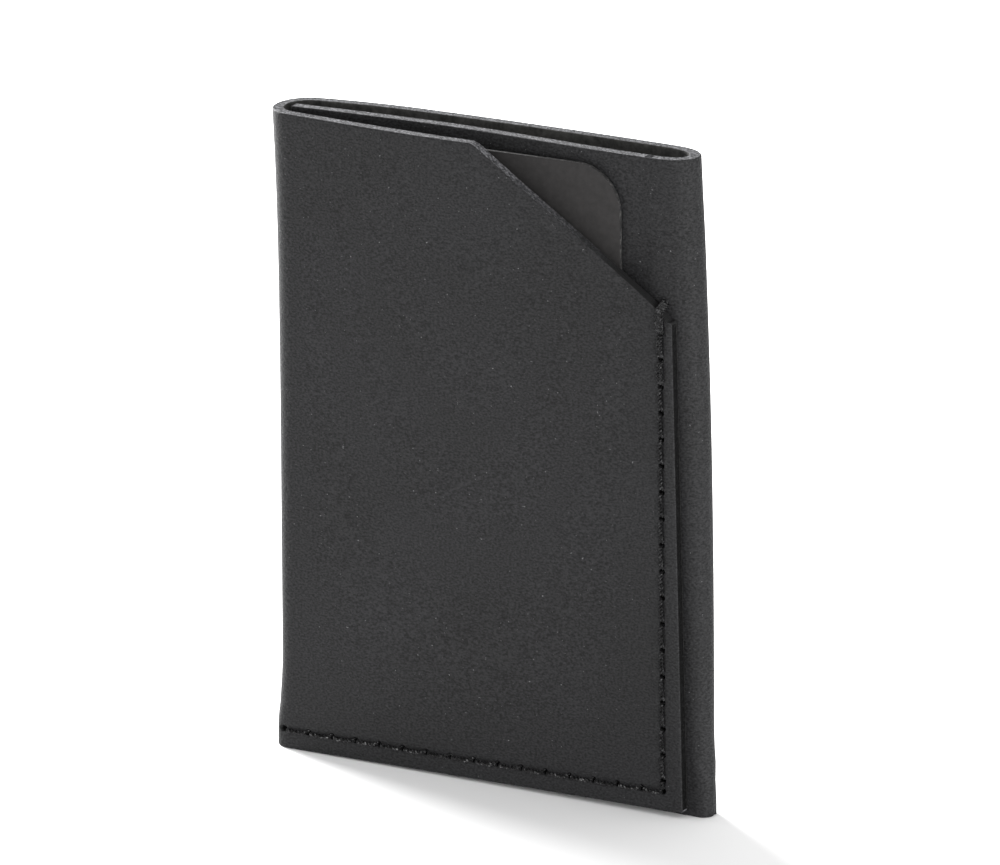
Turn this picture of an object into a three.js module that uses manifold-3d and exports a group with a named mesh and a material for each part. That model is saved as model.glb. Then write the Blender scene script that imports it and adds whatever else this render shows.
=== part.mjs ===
// Leather card holder: one strip of leather folded into a flat spiral, so that it forms a front pocket
// and a back pocket, sewn along its foot and up one side, with an insert card in the front pocket.
// Millimetres, +Z up. The shape is laid out from the seam's corner (x = 0) and the front face (y = 0),
// and the whole group is then levelled and moved so that its origin is its box's bottom centre.

import * as THREE from "three";
import * as BufferGeometryUtils from "three/addons/utils/BufferGeometryUtils.js";
import Module from "manifold-3d";

const wasm = await Module();
wasm.setup();

// Leather strip
const HEIGHT = 97.7;
const LEATHER = 1.8;
// The strip is folded a little off square: the foot of its back and middle panels runs down from the
// left fold's side to the right fold, where it is this far below the front panel's foot.
const FOOT_DROP = 0.95;
const FOOT_LEFT = -66;
const FOOT_RIGHT = 5.5;
const FOOT_SLANT = FOOT_DROP / (FOOT_RIGHT - FOOT_LEFT);
const LAYER_GAP = 0.2;
const HALF = LEATHER / 2;
const FRONT_Y = HALF;
const MIDDLE_Y = FRONT_Y + LEATHER + LAYER_GAP;
const BACK_Y = MIDDLE_Y + LEATHER + LAYER_GAP;
const SPLIT_GAP = 0.3;
const LEVELS = [0, 1.9, 3.8, 5.4, 7.0, 10, 20, 34, 48, 62, 74.3, 86, HEIGHT];

// How far the panels stand apart, from the seam up to the mouth
const SEAM_TOP = 3.8;
const CARD_ROOM = 0.75;
const CARD_ROOM_TOP = 7.0;
const OPENING_POWER = 1.5;
const FRONT_BOW = 2.0;
const FRONT_BOW_LEFT = -60;
const MIDDLE_MOUTH_Y = 3.6;
const MIDDLE_CREST_RISE = 2.3;
const MIDDLE_CREST_X = -40;
const MIDDLE_CREST_START = 3;
const MIDDLE_DROP = 0.5;
const MIDDLE_DROP_REACH = 20;
const BACK_CREST_Y = 11.15;
const BACK_CREST_X = -45;
const BACK_DROP = 1.2;
const BACK_DROP_REACH_LEFT = 15;
const BACK_DROP_REACH_RIGHT = 40;

// The side seam holds the middle panel down as far as these distances to its left
const SEAM_GRIP_START = 1.5;
const SEAM_GRIP_END = 7;
const SEAM_GRIP_FADE_Z = HEIGHT + 10;

// Ends of the strip
const FRONT_EDGE_FOOT = 3.2;
const FRONT_EDGE_TOP = 1.8;
const CUT_START = new THREE.Vector2(-29.7, HEIGHT);
const CUT_END = new THREE.Vector2(FRONT_EDGE_TOP, 74.3);
const MIDDLE_END_FOOT = -62.5;
const MIDDLE_END_TOP = -63.4;

// Tips of the two folds, as places of the leather's middle line
const LEFT_TIP = -64.2;
const LEFT_TIP_FOOT_REACH = 0.76;
const LEFT_TIP_FOOT_FLAT = 1;
const LEFT_TIP_FOOT_FADE = 15;
const LEFT_TIP_MOUTH_REACH = 1.15;
const LEFT_TIP_POWER = 5.5;
const RIGHT_TIP_FOOT = 5.1;
const RIGHT_TIP_FLARE = 0.6;
const RIGHT_TIP_FLARE_TOP = 12;
const RIGHT_TIP_RETREAT = 2.9;
const RIGHT_TIP_POWER = 2.54;
const RIGHT_FOLD_LENGTH_FOOT = 1.05;
const RIGHT_FOLD_LENGTH_GAIN = 0.65;
// A cubic Bezier with both handles of one length reaches this part of it.
const BEZIER_REACH = 0.75;
const SLOPE_STEP = 0.05;

// Where one modelled panel of the strip ends and the next begins
const FRONT_LEFT_SPLIT = -57.6;
const LEFT_BACK_SPLIT = -50;
const BACK_RIGHT_SPLIT = -20;
const RIGHT_MIDDLE_SPLIT = -4;

// Steps across each stretch of the strip's middle line
const FRONT_STEPS = 7;
const BACK_STEPS = 8;
const MIDDLE_STEPS = 15;
const FOLD_STEPS = 10;
const LEFT_FOLD_FRONT_STEPS = 2;
const LEFT_FOLD_BACK_STEPS = 3;
const RIGHT_FOLD_FRONT_STEPS = 3;
const RIGHT_FOLD_BACK_STEPS = 4;

// Seams: the foot seam runs left from the corner, and the side seam runs up from it
const PITCH = 4.0;
const SEAM_Z = 2.95;
const FOOT_STITCHES = 16;
const FIRST_FOOT_STITCH = 3.6;
const SIDE_STITCHES = 17;
const FIRST_SIDE_HOLE_Z = 4.5;
const SIDE_SEAM_TOP = FIRST_SIDE_HOLE_Z + PITCH * SIDE_STITCHES;
const TACK_HOLE_Z = 77.0;
const HOLE_RADIUS = 0.6;
const THREAD_RADIUS = 0.3;
const THREAD_LIFT = 0.12;
const THREAD_ARCH = 0.15;
const THREAD_SIDES = 6;
const LEG_RADIUS = 0.27;
const LEG_GAP = 0.3;
const SIDE_THREAD_START = 0.75;
const TACK_TURN = 0.5;
const SIDE_HOLE_OVERRUN = 0.16;

// Insert card
const CARD_WIDTH = 53;
const CARD_HEIGHT = 88.6;
const CARD_THICKNESS = 0.6;
const CARD_RADIUS = 7;
const CARD_RIGHT = -7.5;
const CARD_BOTTOM = 7.2;
const CARD_Y = 2.27;

const leather = { color: 0x3a3a3c, roughness: 0.62, metalness: 0 };
const thread = { color: 0x161617, roughness: 0.55, metalness: 0 };
const board = { color: 0x434244, roughness: 0.75, metalness: 0 };

const { lerp, smoothstep } = THREE.MathUtils;

// ---- Middle line of the leather: the y of each panel at a place x and a height z

const share = (z) => Math.max(z, 0) / HEIGHT;
const opening = (z) => Math.pow(share(z), OPENING_POWER);
const cardRoom = (z) => CARD_ROOM * smoothstep(z, SEAM_TOP, CARD_ROOM_TOP);

// The front panel is flat at its foot and along the side seam, and bows forwards at the mouth.
function frontY(x, z) {
  const across = Math.min((x - FRONT_BOW_LEFT) / -FRONT_BOW_LEFT, 1);
  const rising = Math.sin(Math.PI * across);
  const settling = 0.5 - 0.5 * Math.cos(2 * Math.PI * across);
  return FRONT_Y - FRONT_BOW * (across < 0.5 ? rising : settling) * opening(z);
}

// The middle panel lies on the front one along the seams, and leaves room for the card between them.
function middleY(x, z) {
  const besideSeam = smoothstep(-x, SEAM_GRIP_START, SEAM_GRIP_END);
  const foot = MIDDLE_Y + cardRoom(z) * besideSeam;
  const crest = MIDDLE_CREST_RISE * smoothstep(-x, MIDDLE_CREST_START, -MIDDLE_CREST_X);
  const drop = MIDDLE_DROP * Math.pow(Math.min(x - MIDDLE_CREST_X, 0) / MIDDLE_DROP_REACH, 2);
  const mouth = MIDDLE_MOUTH_Y + crest - drop;
  const atSeam = smoothstep(z, SIDE_SEAM_TOP, SEAM_GRIP_FADE_Z);
  const open = lerp(atSeam, opening(z), besideSeam);
  return foot + (mouth - MIDDLE_Y - CARD_ROOM * besideSeam) * open;
}

// The back panel leans back from its foot and bows outwards.
function backY(x, z) {
  const reach = x < BACK_CREST_X ? BACK_DROP_REACH_LEFT : BACK_DROP_REACH_RIGHT;
  const mouth = BACK_CREST_Y - BACK_DROP * Math.pow((x - BACK_CREST_X) / reach, 2);
  return BACK_Y + cardRoom(z) + (mouth - BACK_Y - CARD_ROOM) * opening(z);
}

// ---- Lines across the strip at one height, as lists of [x, y]

function panelLine(yAt, fromX, toX, steps, z) {
  const line = [];
  for (let i = 0; i <= steps; i += 1) {
    const x = lerp(fromX, toX, i / steps);
    line.push([x, yAt(x, z)]);
  }
  return line;
}

function slope(yAt, x, z) {
  return (yAt(x + SLOPE_STEP, z) - yAt(x - SLOPE_STEP, z)) / (2 * SLOPE_STEP);
}

// A fold is one Bezier curve from the front panel of the pair to the back one, out to its tip.
function foldLine(yFront, yBack, startX, tipX, steps, z) {
  const reach = (tipX - startX) / BEZIER_REACH;
  const near = new THREE.Vector2(startX, yFront(startX, z));
  const far = new THREE.Vector2(startX, yBack(startX, z));
  const curve = new THREE.CubicBezierCurve(
    near,
    new THREE.Vector2(startX + reach, near.y + reach * slope(yFront, startX, z)),
    new THREE.Vector2(startX + reach, far.y + reach * slope(yBack, startX, z)),
    far,
  );
  return curve.getPoints(steps).map((p) => [p.x, p.y]);
}

function leftTip(z) {
  const foot = LEFT_TIP_FOOT_REACH * (1 - smoothstep(z, LEFT_TIP_FOOT_FLAT, LEFT_TIP_FOOT_FADE));
  const mouth = LEFT_TIP_MOUTH_REACH * Math.pow(share(z), LEFT_TIP_POWER);
  return LEFT_TIP - foot - mouth;
}

function rightTip(z) {
  const flare = RIGHT_TIP_FLARE * (1 - smoothstep(z, 0, RIGHT_TIP_FLARE_TOP));
  return RIGHT_TIP_FOOT + flare - RIGHT_TIP_RETREAT * Math.pow(share(z), RIGHT_TIP_POWER);
}

function leftFoldStart(z) {
  const tip = leftTip(z);
  return tip + (backY(tip, z) - frontY(tip, z)) / 2;
}

function rightFoldStart(z) {
  const tip = rightTip(z);
  const length = RIGHT_FOLD_LENGTH_FOOT + RIGHT_FOLD_LENGTH_GAIN * opening(z);
  return tip - (length * (backY(tip, z) - middleY(tip, z))) / 2;
}

// ---- A panel of the strip: its middle line thickened to both sides, through all its heights

function normalsOf(line) {
  return line.map((point, i) => {
    const before = line[Math.max(i - 1, 0)];
    const after = line[Math.min(i + 1, line.length - 1)];
    const along = new THREE.Vector2(after[0] - before[0], after[1] - before[1]).normalize();
    return [along.y, -along.x];
  });
}

// lineAt(z) gives the middle line at a height, topAt(x) the height of the cut edge over a place, and
// footAt(x, i) the height of the foot at a place in a column.
function leatherPanel(lineAt, footAt, topAt = () => HEIGHT) {
  const columns = lineAt(0).length;
  const positions = [];
  const add = (x, y, z) => positions.push(x, y, z);
  for (const side of [HALF, -HALF]) {
    for (const level of LEVELS) {
      for (let i = 0; i < columns; i += 1) {
        const roughX = lineAt(level)[i][0];
        const z = lerp(footAt(roughX, i), topAt(roughX), level / HEIGHT);
        const line = lineAt(z);
        const normal = normalsOf(line)[i];
        const x = line[i][0] + normal[0] * side;
        add(x, line[i][1] + normal[1] * side, level === 0 ? footAt(x, i) : z);
      }
    }
  }
  const at = (side, level, i) => (side * LEVELS.length + level) * columns + i;
  const faces = [];
  const quad = (a, b, c, d) => faces.push(a, b, c, a, c, d);
  for (let j = 0; j + 1 < LEVELS.length; j += 1) {
    for (let i = 0; i + 1 < columns; i += 1) {
      quad(at(0, j, i), at(0, j, i + 1), at(0, j + 1, i + 1), at(0, j + 1, i));
      quad(at(1, j, i), at(1, j + 1, i), at(1, j + 1, i + 1), at(1, j, i + 1));
    }
    const last = columns - 1;
    quad(at(0, j, 0), at(0, j + 1, 0), at(1, j + 1, 0), at(1, j, 0));
    quad(at(0, j, last), at(1, j, last), at(1, j + 1, last), at(0, j + 1, last));
  }
  const top = LEVELS.length - 1;
  for (let i = 0; i + 1 < columns; i += 1) {
    quad(at(0, 0, i), at(1, 0, i), at(1, 0, i + 1), at(0, 0, i + 1));
    quad(at(0, top, i), at(0, top, i + 1), at(1, top, i + 1), at(1, top, i));
  }
  const geometry = new THREE.BufferGeometry();
  geometry.setAttribute("position", new THREE.Float32BufferAttribute(positions, 3));
  geometry.setIndex(faces);
  return geometry;
}

const frontFoot = () => 0;
const rearFoot = (x) => FOOT_SLANT * (FOOT_LEFT - x);

// The left fold's foot sinks from the front panel's to the back panel's as the leather turns.
function leftFoldFoot(x, column) {
  const turned = smoothstep(column, LEFT_FOLD_BACK_STEPS, LEFT_FOLD_BACK_STEPS + FOLD_STEPS / 2);
  return rearFoot(x) * (1 - turned);
}

function frontEdge(z) {
  return lerp(FRONT_EDGE_FOOT, FRONT_EDGE_TOP, z / CUT_END.y);
}

// The diagonal cut runs from the mouth down to the front panel's free edge.
function frontTop(x) {
  const along = (x - CUT_START.x) / (CUT_END.x - CUT_START.x);
  return lerp(CUT_START.y, CUT_END.y, THREE.MathUtils.clamp(along, 0, 1));
}

function frontPanelLine(z) {
  const left = FRONT_LEFT_SPLIT + SPLIT_GAP / 2;
  const towardsCut = panelLine(frontY, left, CUT_START.x, FRONT_STEPS, z);
  const belowCut = panelLine(frontY, CUT_START.x, 0, FRONT_STEPS, z);
  const edge = frontEdge(z);
  return [...towardsCut, ...belowCut.slice(1), [edge, frontY(edge, z)]];
}

function leftFoldLine(z) {
  const start = leftFoldStart(z);
  const frontEnd = FRONT_LEFT_SPLIT - SPLIT_GAP / 2;
  const backEnd = LEFT_BACK_SPLIT - SPLIT_GAP / 2;
  const front = panelLine(frontY, frontEnd, start, LEFT_FOLD_FRONT_STEPS, z);
  const fold = foldLine(frontY, backY, start, leftTip(z), FOLD_STEPS, z);
  const back = panelLine(backY, start, backEnd, LEFT_FOLD_BACK_STEPS, z);
  return [...front.slice(0, -1), ...fold, ...back.slice(1)].reverse();
}

function backPanelLine(z) {
  const left = LEFT_BACK_SPLIT + SPLIT_GAP / 2;
  const right = BACK_RIGHT_SPLIT - SPLIT_GAP / 2;
  return panelLine(backY, right, left, BACK_STEPS, z);
}

function rightFoldLine(z) {
  const start = rightFoldStart(z);
  const frontEnd = RIGHT_MIDDLE_SPLIT + SPLIT_GAP / 2;
  const backEnd = BACK_RIGHT_SPLIT + SPLIT_GAP / 2;
  const front = panelLine(middleY, frontEnd, start, RIGHT_FOLD_FRONT_STEPS, z);
  const fold = foldLine(middleY, backY, start, rightTip(z), FOLD_STEPS, z);
  const back = panelLine(backY, start, backEnd, RIGHT_FOLD_BACK_STEPS, z);
  return [...front.slice(0, -1), ...fold, ...back.slice(1)];
}

function middlePanelLine(z) {
  const left = lerp(MIDDLE_END_FOOT, MIDDLE_END_TOP, opening(z));
  const right = RIGHT_MIDDLE_SPLIT - SPLIT_GAP / 2;
  return panelLine(middleY, left, right, MIDDLE_STEPS, z);
}

// ---- Stitch holes and threads: a place is an x and a height

const place = (x, z) => new THREE.Vector2(x, z);

function footPlaces() {
  const places = [place(0, SEAM_Z)];
  for (let i = 0; i < FOOT_STITCHES; i += 1) {
    places.push(place(-FIRST_FOOT_STITCH - PITCH * i, SEAM_Z));
  }
  return places;
}

function sidePlaces() {
  const places = [];
  for (let i = 0; i <= SIDE_STITCHES; i += 1) {
    places.push(place(0, FIRST_SIDE_HOLE_Z + PITCH * i));
  }
  return places;
}

const tackPlace = place(0, TACK_HOLE_Z);

// A rod of a few sides that runs along Y at a place.
function rod(at, radius, fromY, toY) {
  const length = Math.abs(toY - fromY);
  const geometry = new THREE.CylinderGeometry(radius, radius, length, THREAD_SIDES);
  return geometry.translate(at.x, (fromY + toY) / 2, at.y);
}

function toManifold(geometry) {
  const bare = geometry.clone();
  bare.deleteAttribute("normal");
  bare.deleteAttribute("uv");
  const merged = BufferGeometryUtils.mergeVertices(bare, 1e-4);
  return new wasm.Manifold(
    new wasm.Mesh({
      numProp: 3,
      vertProperties: Float32Array.from(merged.attributes.position.array),
      triVerts: Uint32Array.from(merged.index.array),
    }),
  );
}

function toGeometry(solid) {
  const mesh = solid.getMesh();
  const geometry = new THREE.BufferGeometry();
  const positions = Float32Array.from(mesh.vertProperties);
  geometry.setAttribute("position", new THREE.BufferAttribute(positions, 3));
  geometry.setIndex(Array.from(mesh.triVerts));
  return geometry;
}

// The foot seam's holes go through every layer, and the side seam's through the front and middle ones.
function punched(geometry, seams) {
  const foot = footPlaces().map((at) => rod(at, HOLE_RADIUS, -LEATHER, BACK_Y + 2 * LEATHER));
  const middleBack = MIDDLE_Y + HALF + SIDE_HOLE_OVERRUN;
  const side = [...sidePlaces(), tackPlace].map((at) => rod(at, HOLE_RADIUS, -LEATHER, middleBack));
  const pins = { foot, side: side.slice(0, -1), sideAndTack: side };
  const chosen = seams.flatMap((seam) => pins[seam]);
  const holes = toManifold(BufferGeometryUtils.mergeGeometries(chosen));
  return toGeometry(toManifold(geometry).subtract(holes));
}

function threadSection() {
  const section = new THREE.Shape();
  for (let i = 0; i < THREAD_SIDES; i += 1) {
    const angle = (2 * Math.PI * i) / THREAD_SIDES;
    const [x, y] = [THREAD_RADIUS * Math.cos(angle), THREAD_RADIUS * Math.sin(angle)];
    if (i === 0) section.moveTo(x, y);
    else section.lineTo(x, y);
  }
  section.closePath();
  return section;
}

// Stitches over a face: out at each hole, and arched a little between two holes.
function stitchPoints(places, restY, archY) {
  const points = [];
  places.forEach((at, i) => {
    points.push(new THREE.Vector3(at.x, restY, at.y));
    const next = places[i + 1];
    if (next) points.push(new THREE.Vector3((at.x + next.x) / 2, archY, (at.y + next.y) / 2));
  });
  return points;
}

// A seam's thread is one tube through its points, with a leg down each hole as far as the other thread.
function seamThread(points, legPlaces, restYAt, legEndY) {
  const run = new THREE.ExtrudeGeometry(threadSection(), {
    extrudePath: new THREE.CatmullRomCurve3(points),
    steps: points.length - 1,
    bevelEnabled: false,
  });
  const legs = legPlaces.map((at) => rod(at, LEG_RADIUS, restYAt(at), legEndY));
  const allLegs = toManifold(BufferGeometryUtils.mergeGeometries(legs));
  return toGeometry(toManifold(run).add(allLegs));
}

const frontRest = -THREAD_RADIUS - THREAD_LIFT;
const footMeeting = (MIDDLE_Y + BACK_Y) / 2;
const sideMeeting = (FRONT_Y + MIDDLE_Y) / 2;

function footFrontThread() {
  const points = stitchPoints(footPlaces(), frontRest, frontRest - THREAD_ARCH);
  return seamThread(points, footPlaces(), () => frontRest, footMeeting - LEG_GAP / 2);
}

function footBackThread() {
  const rest = BACK_Y + HALF + THREAD_RADIUS + THREAD_LIFT;
  const points = stitchPoints(footPlaces(), rest, rest + THREAD_ARCH);
  return seamThread(points, footPlaces(), () => rest, footMeeting + LEG_GAP / 2);
}

// The side seam starts just over the corner hole, and its last stitch turns over the diagonal cut edge.
function sideFrontThread() {
  const middleRest = MIDDLE_Y - HALF + frontRest;
  const points = stitchPoints(sidePlaces(), frontRest, frontRest - THREAD_ARCH);
  points.unshift(new THREE.Vector3(0, frontRest, SEAM_Z + SIDE_THREAD_START));
  points.push(new THREE.Vector3(0, frontRest, TACK_HOLE_Z - TACK_TURN));
  points.push(new THREE.Vector3(0, middleRest, TACK_HOLE_Z));
  const restAt = (at) => (at === tackPlace ? middleRest : frontRest);
  return seamThread(points, [...sidePlaces(), tackPlace], restAt, sideMeeting - LEG_GAP / 2);
}

// Below its second hole the back panel presses this thread into the leather, so it starts there.
function sideBackThread() {
  const places = [...sidePlaces().slice(1), tackPlace];
  const rest = MIDDLE_Y + HALF + THREAD_RADIUS + THREAD_LIFT;
  const points = stitchPoints(places, rest, rest + THREAD_ARCH);
  return seamThread(points, places, () => rest, sideMeeting + LEG_GAP / 2);
}

// ---- Insert card: a thin board with round corners, which stands in the front pocket

function insertCard() {
  const right = CARD_RIGHT;
  const left = CARD_RIGHT - CARD_WIDTH;
  const low = CARD_BOTTOM;
  const high = CARD_BOTTOM + CARD_HEIGHT;
  const r = CARD_RADIUS;
  const outline = new THREE.Shape();
  outline.moveTo(left + r, low);
  outline.lineTo(right - r, low);
  outline.absarc(right - r, low + r, r, -Math.PI / 2, 0);
  outline.lineTo(right, high - r);
  outline.absarc(right - r, high - r, r, 0, Math.PI / 2);
  outline.lineTo(left + r, high);
  outline.absarc(left + r, high - r, r, Math.PI / 2, Math.PI);
  outline.lineTo(left, low + r);
  outline.absarc(left + r, low + r, r, Math.PI, 1.5 * Math.PI);
  const options = { depth: CARD_THICKNESS, bevelEnabled: false, curveSegments: 7 };
  const geometry = new THREE.ExtrudeGeometry(outline, options);
  geometry.rotateX(Math.PI / 2);
  return geometry.translate(0, CARD_Y + CARD_THICKNESS / 2, 0);
}

// ---- The card holder

function piece(name, geometry, look) {
  const mesh = new THREE.Mesh(geometry, new THREE.MeshStandardMaterial(look));
  mesh.name = name;
  return mesh;
}

function leatherStrip() {
  const right = leatherPanel(rightFoldLine, rearFoot);
  const front = punched(leatherPanel(frontPanelLine, frontFoot, frontTop), ["foot", "side"]);
  return [
    piece("front_panel", front, leather),
    piece("left_fold", punched(leatherPanel(leftFoldLine, leftFoldFoot), ["foot"]), leather),
    piece("back_panel", punched(leatherPanel(backPanelLine, rearFoot), ["foot"]), leather),
    piece("right_fold", punched(right, ["foot", "sideAndTack"]), leather),
    piece("middle_panel", punched(leatherPanel(middlePanelLine, rearFoot), ["foot"]), leather),
  ];
}

function threads() {
  return [
    piece("foot_seam_front_thread", footFrontThread(), thread),
    piece("foot_seam_back_thread", footBackThread(), thread),
    piece("side_seam_front_thread", sideFrontThread(), thread),
    piece("side_seam_back_thread", sideBackThread(), thread),
  ];
}

const cardHolder = new THREE.Group();
cardHolder.add(...leatherStrip(), ...threads(), piece("insert_card", insertCard(), board));
// It stands on the foot of its back and middle panels, so it leans by their slant.
cardHolder.rotation.y = -Math.atan(FOOT_SLANT);
const box = new THREE.Box3().setFromObject(cardHolder, true);
const middle = box.getCenter(new THREE.Vector3());
cardHolder.position.set(-middle.x, -middle.y, -box.min.z);

export default cardHolder;
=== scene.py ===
"""Looks of a folded leather card holder: fine leather panels, twisted threads and a worn insert card.

Shapes are worked out in millimetres from the seam's corner (x = 0), the front face (y = 0) and the
front panel's foot (z = 0). to_row() then leans them onto the foot of the layers behind, as the holder
stands, and moves them into the row frame in metres.
"""

import math

import bpy
import bmesh
import numpy as np
from mathutils import Matrix, Vector


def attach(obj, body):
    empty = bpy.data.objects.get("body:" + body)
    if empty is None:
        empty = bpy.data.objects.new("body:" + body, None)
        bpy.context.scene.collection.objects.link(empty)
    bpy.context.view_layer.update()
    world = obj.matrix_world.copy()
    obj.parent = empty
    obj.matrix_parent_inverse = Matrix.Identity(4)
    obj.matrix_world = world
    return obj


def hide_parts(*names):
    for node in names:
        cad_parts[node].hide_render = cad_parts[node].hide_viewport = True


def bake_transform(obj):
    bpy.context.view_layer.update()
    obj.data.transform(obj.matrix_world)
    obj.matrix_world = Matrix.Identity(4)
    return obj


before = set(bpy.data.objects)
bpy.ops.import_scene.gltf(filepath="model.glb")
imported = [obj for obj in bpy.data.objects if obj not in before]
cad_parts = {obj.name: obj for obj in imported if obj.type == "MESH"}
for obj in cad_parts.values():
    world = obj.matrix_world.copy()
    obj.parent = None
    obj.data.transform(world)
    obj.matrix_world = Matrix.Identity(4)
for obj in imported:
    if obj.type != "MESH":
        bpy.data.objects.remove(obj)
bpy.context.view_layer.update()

MM = 0.001
CORNER_IN_ROW = np.array([30.465, -5.023, 0.877])

# Leather strip
HEIGHT = 97.7
LEATHER = 1.8
HALF = LEATHER / 2
FRONT_Y = HALF
MIDDLE_Y = 2.9
BACK_Y = 4.9
# The foot of the layers behind runs down to the right, to this far below the front panel's foot.
FOOT_DROP = 0.95
FOOT_LEFT, FOOT_RIGHT = -66, 5.5
FOOT_SLANT = FOOT_DROP / (FOOT_RIGHT - FOOT_LEFT)
LEAN = math.atan(FOOT_SLANT)
SPLITS = {"front_left": -57.6, "left_back": -50.0, "back_right": -20.0, "right_middle": -4.0}

# Ends of the strip
FRONT_EDGE_FOOT, FRONT_EDGE_TOP = 3.2, 1.8
CUT_START = (-29.7, HEIGHT)
CUT_END = (FRONT_EDGE_TOP, 74.3)
MIDDLE_END_FOOT, MIDDLE_END_TOP = -62.5, -63.4

# How far the panels stand apart, from the seam up to the mouth
SEAM_TOP = 3.8
CARD_ROOM, CARD_ROOM_TOP = 0.75, 7.0
OPENING_POWER = 1.5
FRONT_BOW, FRONT_BOW_LEFT = 2.0, -60
MIDDLE_MOUTH_Y = 3.6
MIDDLE_CREST_RISE, MIDDLE_CREST_START, MIDDLE_CREST_X = 2.3, 3, -40
MIDDLE_DROP, MIDDLE_DROP_REACH = 0.5, 20
BACK_CREST_X, BACK_CREST_Y = -45, 11.15
BACK_DROP = 1.2
BACK_DROP_REACH_LEFT, BACK_DROP_REACH_RIGHT = 15.0, 40.0
# The side seam's hold on the middle panel fades out between these distances to its left.
SEAM_GRIP_START, SEAM_GRIP_END = 1.5, 7
SEAM_GRIP_FADE_Z = HEIGHT + 10

# Tips of the two folds, as places of the leather's middle line
LEFT_TIP = -64.2
LEFT_TIP_FOOT_REACH, LEFT_TIP_FOOT_FLAT, LEFT_TIP_FOOT_FADE = 0.76, 1, 15
LEFT_TIP_MOUTH_REACH, LEFT_TIP_POWER = 1.15, 5.5
RIGHT_TIP_FOOT = 5.1
RIGHT_TIP_FLARE, RIGHT_TIP_FLARE_TOP = 0.6, 12
RIGHT_TIP_RETREAT, RIGHT_TIP_POWER = 2.9, 2.54
RIGHT_FOLD_LENGTH_FOOT, RIGHT_FOLD_LENGTH_GAIN = 1.05, 0.65
# A cubic Bezier with both handles of one length reaches this part of it.
BEZIER_REACH = 0.75
SLOPE_STEP = 0.05
NORMAL_STEP = 1e-3

# Cut edges: a rounded arris, a worn rim and rough fibres between them
ARRIS = 0.22
ARRIS_STEPS = np.array([0.03, 0.08, 0.15, ARRIS])
ARRIS_CLEARANCE = 0.3
WORN_RIM = 0.07
EDGE_LAYERS = 7
EDGE_FUZZ = 0.1
EDGE_CORNER = 0.35
LEFT_CORNER, RIGHT_CORNER = 1.0, 0.6
# The diagonal's look, with its painted shade, ends this far below its low end, and this far below its high
# one.
DIAGONAL_LOW_MARGIN, DIAGONAL_HIGH_MARGIN = 1, 0.1
# Sharpest turns, in degrees, that are still shaded smooth
SMOOTH_ANGLE, THREAD_SMOOTH_ANGLE = 40, 70
FOLD_CORNER_REACH = 5.0
FOLD_MIDDLE = 1.5

# Grid of a panel, in millimetres
FINE_REACH, FINE_STEP = 0.6, 0.13
COLUMN_STEP = 1.2
LEVEL_STEP = 1.3
FRONT_LOW_STEP, FRONT_HIGH_STEP = 1.2, 1.5
FAN_START = 60.0
# Counts along a fold's three parts, and the middle panel's columns as shares of its width
LEFT_FOLD_COLUMNS = (95, 90, 45)
RIGHT_FOLD_COLUMNS = (60, 70, 165)
MIDDLE_END_COLUMNS = [0, 0.0005, 0.0013, 0.0025, 0.0037]
MIDDLE_FIRST_COLUMN, MIDDLE_COLUMNS = 0.01, 60

# Seams
PITCH = 4.0
SEAM_Z = 2.95
FIRST_FOOT_STITCH = 3.6
FOOT_HOLES = [0.0] + [-FIRST_FOOT_STITCH - PITCH * i for i in range(16)]
FIRST_SIDE_HOLE_Z = 4.5
SIDE_HOLES = [FIRST_SIDE_HOLE_Z + PITCH * i for i in range(18)]
HOLE_RADIUS = 0.42
# A needle hole's pit is full inside the first of these shares of HOLE_RADIUS, and gone at the second.
HOLE_FLOOR, HOLE_RIM = 0.55, 1.35
PIT_DEPTH = 1.2
# Faces of a needle hole's pit deeper than this get the painted shade of a hole
PAINTED_SHADE_PIT_DEPTH = 0.3
GROOVE_DEPTH = 0.22
GROOVE_WIDTH = 0.45
GROOVE_END = 0.5

# Threads, two strands twisted together
STRANDS = 2
STRAND_RADIUS = 0.16
STRAND_ORBIT = 0.16
TWIST_LENGTH = 1.1
STRAND_SIDES = 8
STITCH_END = 0.3
STITCH_DEPTH = 0.85
STITCH_PROUD = 0.15
STITCH_STEPS = 44
CORNER_STITCH_STEPS = 24
DIVE_POWER = 8
FOOT_SAG = 0.2
SIDE_SLANT = 0.12

# The back-tack: the last two side stitches sewn over again, and wraps over the diagonal cut edge
TACK_STITCH_OFFSETS = (-0.2, 0.2)
TACK_PROUD = 0.25
TACK_WRAP_OFFSETS = (-0.5, -0.2, 0.1, 0.4)
# y and z of each knot of a wrap
TACK_WRAP = [
    (0.55, 72.6), (-0.26, 73.0), (-0.26, 75.2), (-0.1, 75.9), (0.8, 76.25), (1.75, 76.5), (1.95, 76.9),
]
TACK_NARROWING = 12
TACK_STEPS = 60

# Insert card
CARD_LEFT, CARD_RIGHT = -60.5, -7.5
CARD_LOW, CARD_HIGH = 7.2, 95.8
CARD_FRONT_Y, CARD_MIDDLE_Y, CARD_BACK_Y = 1.97, 2.27, 2.57
CARD_RADIUS = 7.0
CARD_BEVEL, CARD_BEVEL_DEPTH = 0.05, 0.08
CARD_FUZZ, CARD_MIDDLE_FUZZ = 0.05, 0.06
CARD_CORNER_POINTS = 25
CARD_POINT_GAP = 0.5

# Material slots of the leather; the fourth holds painted shade for needle holes and the free edge, the fifth
# the diagonal cut edge with painted shade down its length
GRAIN, FLESH, CUT, PAINTED_SHADE, DIAGONAL = range(5)

CAMERA_AZIMUTH = math.radians(28.767)
CAMERA_ELEVATION = math.radians(17.1235)
CAMERA_ROLL = math.radians(0.145)
CAMERA_DISTANCE = 1.6
CAMERA_LENS = 395.5
CAMERA_SENSOR = 36
CAMERA_CLIP = (0.05, 20)
CAMERA_TARGET = Vector((0.00323, -0.00502, 0.05451))

FLOOR_HALF_WIDTH = 3.0
FLOOR_CELLS = 8
FLOOR_Z = -0.00002

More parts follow.
